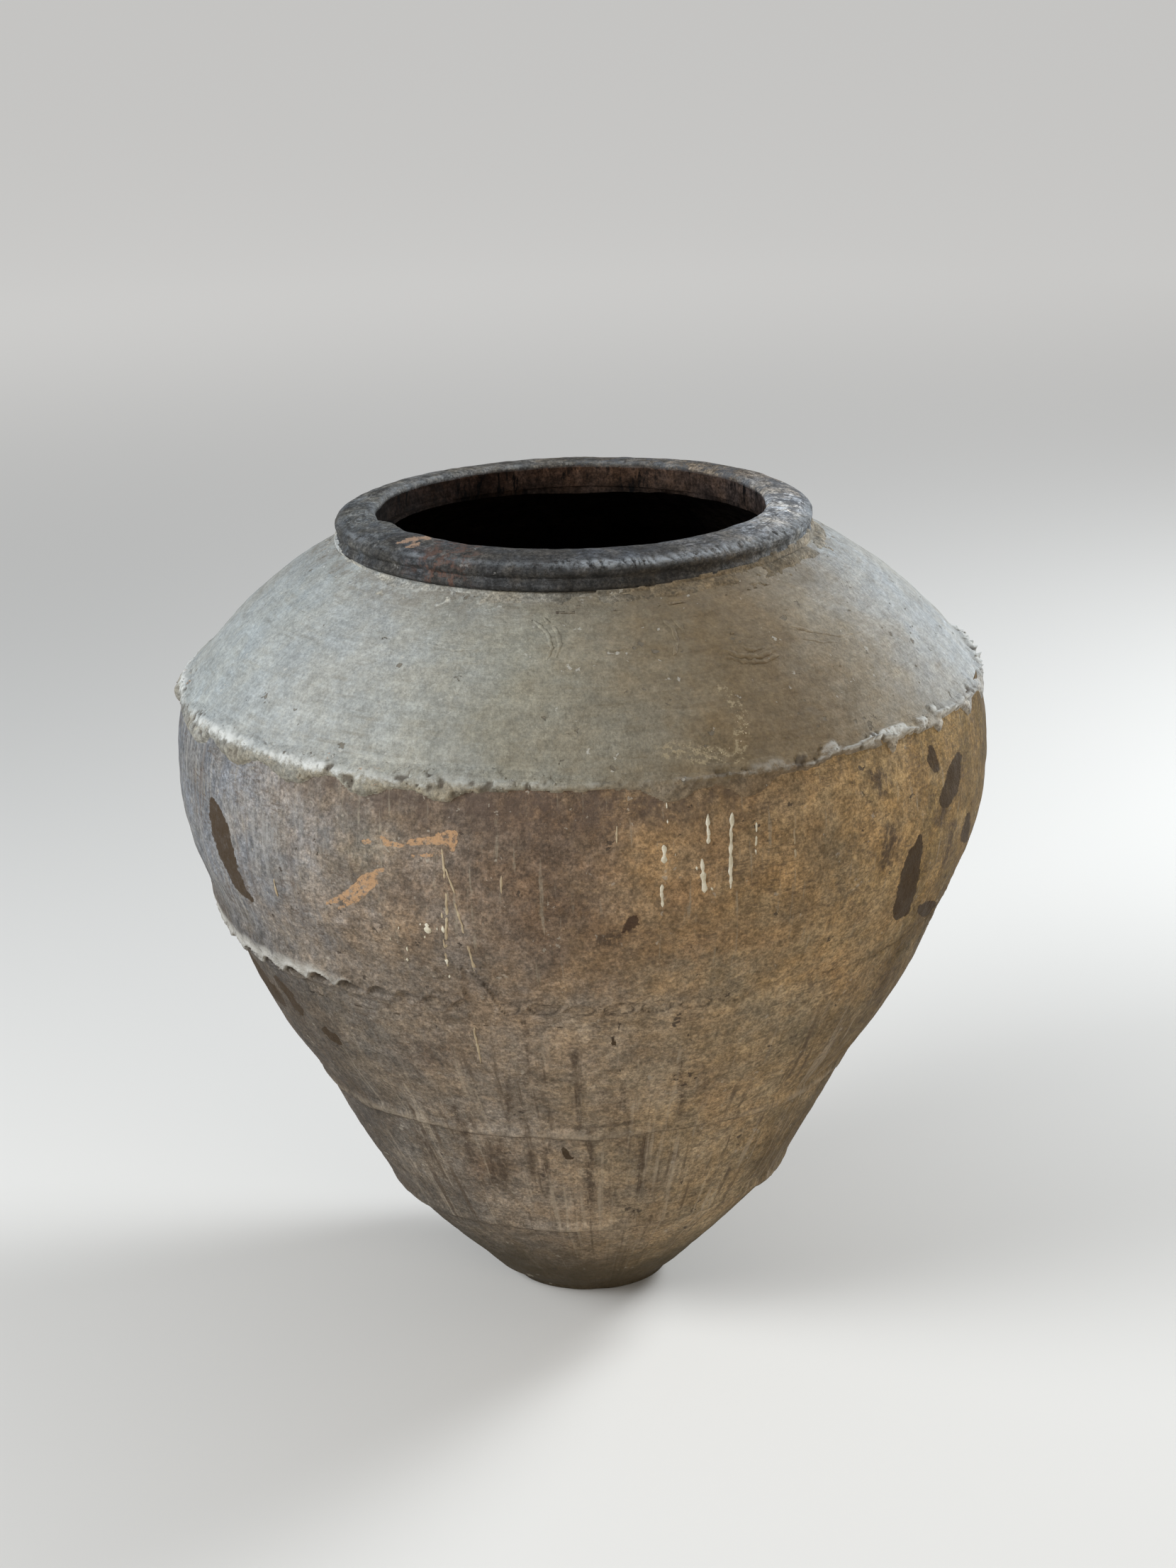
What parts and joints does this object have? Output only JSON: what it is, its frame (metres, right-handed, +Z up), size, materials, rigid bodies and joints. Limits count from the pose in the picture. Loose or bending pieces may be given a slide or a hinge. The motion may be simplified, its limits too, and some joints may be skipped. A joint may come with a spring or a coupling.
{
  "type": "olive jar",
  "caption": "Large coil-built earthenware jar with a round shoulder, a narrow foot and a wide open mouth, for storing olives in brine.",
  "frame": {"origin": "centre of the flat that the jar stands on", "axes": "+Z up along the axis of the mouth; the jar is round about it, so X and Y are free"},
  "size_m": [0.7649, 0.765, 0.781],
  "materials": {
    "body_clay": "unglazed, weathered grey-brown with whitish streaks",
    "limed_clay": "unglazed, washed with lime, wiped horizontally",
    "sooted_clay": "unglazed, soot-blackened, worn to brown",
    "lute_clay": "unglazed, rough, pitted, pale along the crest",
    "inner_clay": "unglazed, dark stained, finger smeared"
  },
  "bodies": {
    "root": {"floor_slab": "body_clay", "foot_section": "body_clay", "lower_section": "body_clay", "middle_section": "body_clay", "belly_section": "body_clay", "shoulder": "limed_clay", "rim": "sooted_clay", "foot_lute": "lute_clay", "lower_lute": "lute_clay", "thumbed_lute": "lute_clay", "shoulder_lute": "lute_clay", "neck_lute": "lute_clay", "floor_coil": "inner_clay", "foot_coil": "inner_clay", "lower_coil": "inner_clay", "middle_coil": "inner_clay", "shoulder_coil": "inner_clay"}
  },
  "joints": []
}
